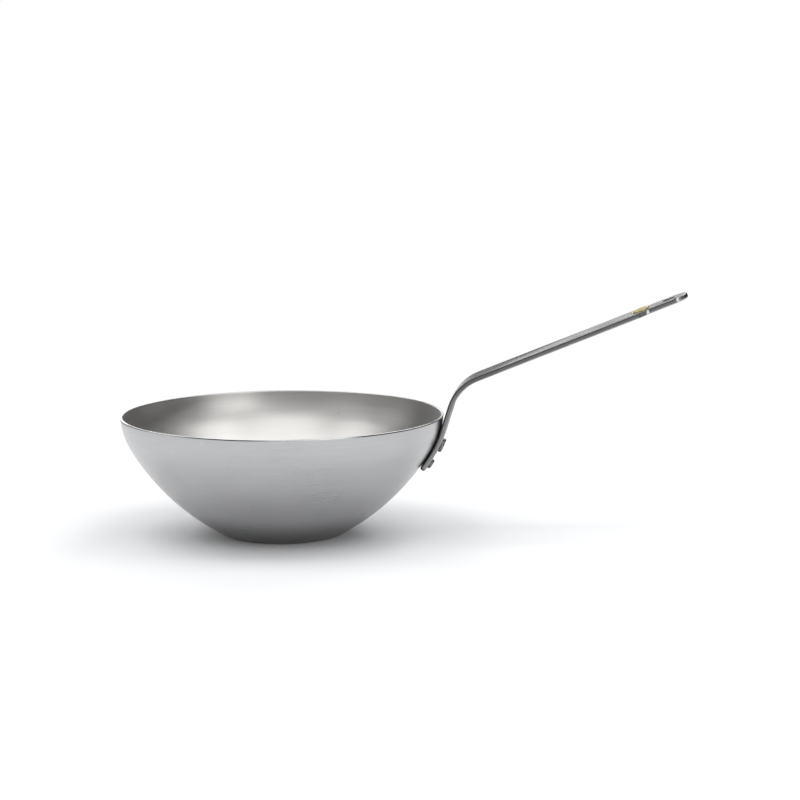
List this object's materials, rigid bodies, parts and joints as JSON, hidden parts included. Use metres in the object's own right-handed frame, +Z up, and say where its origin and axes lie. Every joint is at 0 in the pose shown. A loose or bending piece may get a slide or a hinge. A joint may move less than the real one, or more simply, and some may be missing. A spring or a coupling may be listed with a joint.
{
  "type": "carbon steel wok",
  "caption": "Deep round steel pan with a flat base and a long riveted strip handle that rises past the rim and ends in a hanging slot.",
  "frame": {"origin": "centre of the underside of the bowl's flat base", "axes": "+Z up along the bowl's axis, +X along the handle, away from the bowl"},
  "size_m": [0.4897, 0.28, 0.2121],
  "materials": {
    "pan_steel": "satin, faintly brushed",
    "handle_steel": "satin, tumbled",
    "rivet_steel": "satin",
    "badge_brass": "satin"
  },
  "bodies": {
    "root": {"bowl": "pan_steel", "handle": "handle_steel", "rivet_left": "rivet_steel", "rivet_right": "rivet_steel", "rivet_lower": "rivet_steel", "badge": "badge_brass"}
  },
  "joints": []
}
